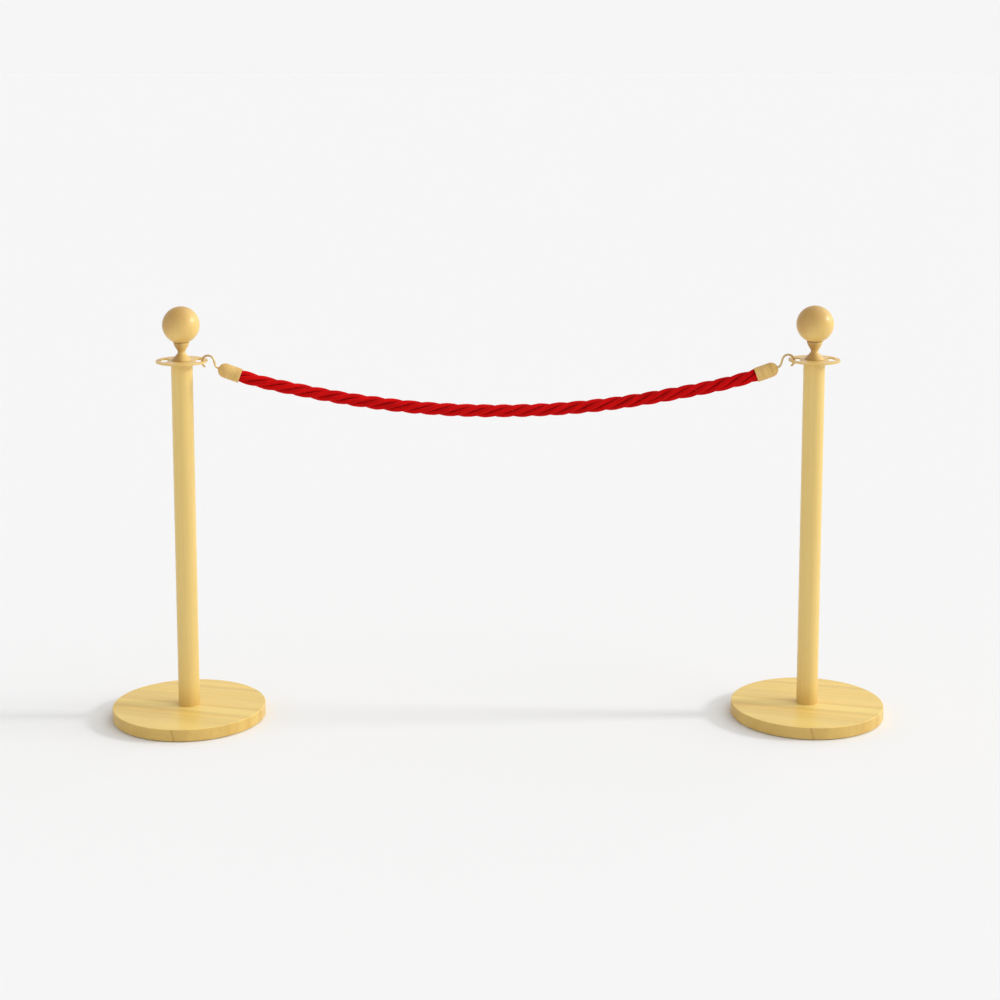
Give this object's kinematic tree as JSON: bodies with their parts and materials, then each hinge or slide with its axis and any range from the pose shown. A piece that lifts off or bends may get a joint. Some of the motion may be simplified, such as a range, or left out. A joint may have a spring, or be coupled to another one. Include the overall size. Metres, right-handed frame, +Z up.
{
  "type": "velvet barrier rope",
  "caption": "Red twisted velvet rope with domed wooden ferrules and wire hooks, hung between free-standing turned wooden posts with slotted ring plates and ball finials.",
  "frame": {"origin": "on the floor, midway between the two posts", "axes": "+X along the rope from the left post to the right post, +Y away from the front, +Z up"},
  "size_m": [1.83, 0.36, 0.9851],
  "materials": {
    "base_wood": "pale golden wood in glued planks, satin lacquer",
    "pole_wood": "pale golden turned wood, satin lacquer",
    "turned_wood": "pale golden turned wood, satin lacquer",
    "ring_wood": "thin laminated wood plate, satin lacquer",
    "ferrule_wood": "turned wood with visible cross grain, satin lacquer",
    "ballast_steel": "blackened plate",
    "zinc_steel": "zinc plated",
    "insert_steel": "plated",
    "pad_rubber": "matte anti-slip sheet",
    "washer_fibre": "hard fibre",
    "hook_brass": "satin brass wire",
    "rope_velvet": "red velvet, four twisted strands"
  },
  "bodies": {
    "left_post": {"left_base_disc": "base_wood", "left_ballast_plate": "ballast_steel", "left_ballast_screws": "zinc_steel", "left_floor_pad": "pad_rubber", "left_clamp_bolt": "zinc_steel", "left_clamp_washer": "zinc_steel", "left_foot_insert": "insert_steel", "left_pole": "pole_wood", "left_top_insert": "insert_steel"},
    "left_ring": {"left_ring_plate": "ring_wood"},
    "rope_assembly": {"rope": "rope_velvet", "left_ferrule": "ferrule_wood", "left_ferrule_screw": "hook_brass", "left_hook": "hook_brass", "left_hook_washer": "hook_brass", "left_hook_nut": "hook_brass", "right_ferrule": "ferrule_wood", "right_ferrule_screw": "hook_brass", "right_hook": "hook_brass", "right_hook_washer": "hook_brass", "right_hook_nut": "hook_brass"},
    "right_ring": {"right_ring_plate": "ring_wood"},
    "right_post": {"right_base_disc": "base_wood", "right_ballast_plate": "ballast_steel", "right_ballast_screws": "zinc_steel", "right_floor_pad": "pad_rubber", "right_clamp_bolt": "zinc_steel", "right_clamp_washer": "zinc_steel", "right_foot_insert": "insert_steel", "right_pole": "pole_wood", "right_top_insert": "insert_steel"},
    "left_finial_seat": {"left_finial_washer": "washer_fibre"},
    "left_finial": {"left_finial_neck": "turned_wood", "left_finial_ball": "turned_wood", "left_finial_stud": "zinc_steel"},
    "right_finial_seat": {"right_finial_washer": "washer_fibre"},
    "right_finial": {"right_finial_neck": "turned_wood", "right_finial_ball": "turned_wood", "right_finial_stud": "zinc_steel"}
  },
  "joints": [
    {"name": "left_ring_turn", "type": "hinge", "parent": "left_post", "child": "left_ring", "pos_m": [-0.735, 0, 0.857], "axis": [0, 0, 1], "continuous": true},
    {"name": "rope_sway", "type": "hinge", "parent": "left_ring", "child": "rope_assembly", "pos_m": [-0.685, 0, 0.858], "axis": [1, 0, 0], "range_deg": [-40, 40]},
    {"name": "right_hook_sway", "type": "hinge", "parent": "rope_assembly", "child": "right_ring", "pos_m": [0.685, 0, 0.858], "axis": [1, 0, 0], "range_deg": [-40, 40]},
    {"name": "right_ring_turn", "type": "hinge", "parent": "right_ring", "child": "right_post", "pos_m": [0.735, 0, 0.857], "axis": [0, 0, 1], "continuous": true},
    {"name": "left_finial_lift", "type": "slide", "parent": "left_post", "child": "left_finial_seat", "axis": [0, 0, 1], "range_m": [0, 0.0125]},
    {"name": "left_finial_turn", "type": "hinge", "parent": "left_finial_seat", "child": "left_finial", "pos_m": [-0.735, 0, 0.9], "axis": [0, 0, 1], "range_deg": [0, 3600]},
    {"name": "right_finial_lift", "type": "slide", "parent": "right_post", "child": "right_finial_seat", "axis": [0, 0, 1], "range_m": [0, 0.0125]},
    {"name": "right_finial_turn", "type": "hinge", "parent": "right_finial_seat", "child": "right_finial", "pos_m": [0.735, 0, 0.9], "axis": [0, 0, 1], "range_deg": [0, 3600]}
  ],
  "couplings": [
    {"joint": "right_hook_sway", "follows": "rope_sway", "ratio": -1},
    {"joint": "left_finial_lift", "follows": "left_finial_turn", "m_per_rad": 0.00019894},
    {"joint": "right_finial_lift", "follows": "right_finial_turn", "m_per_rad": 0.00019894}
  ]
}
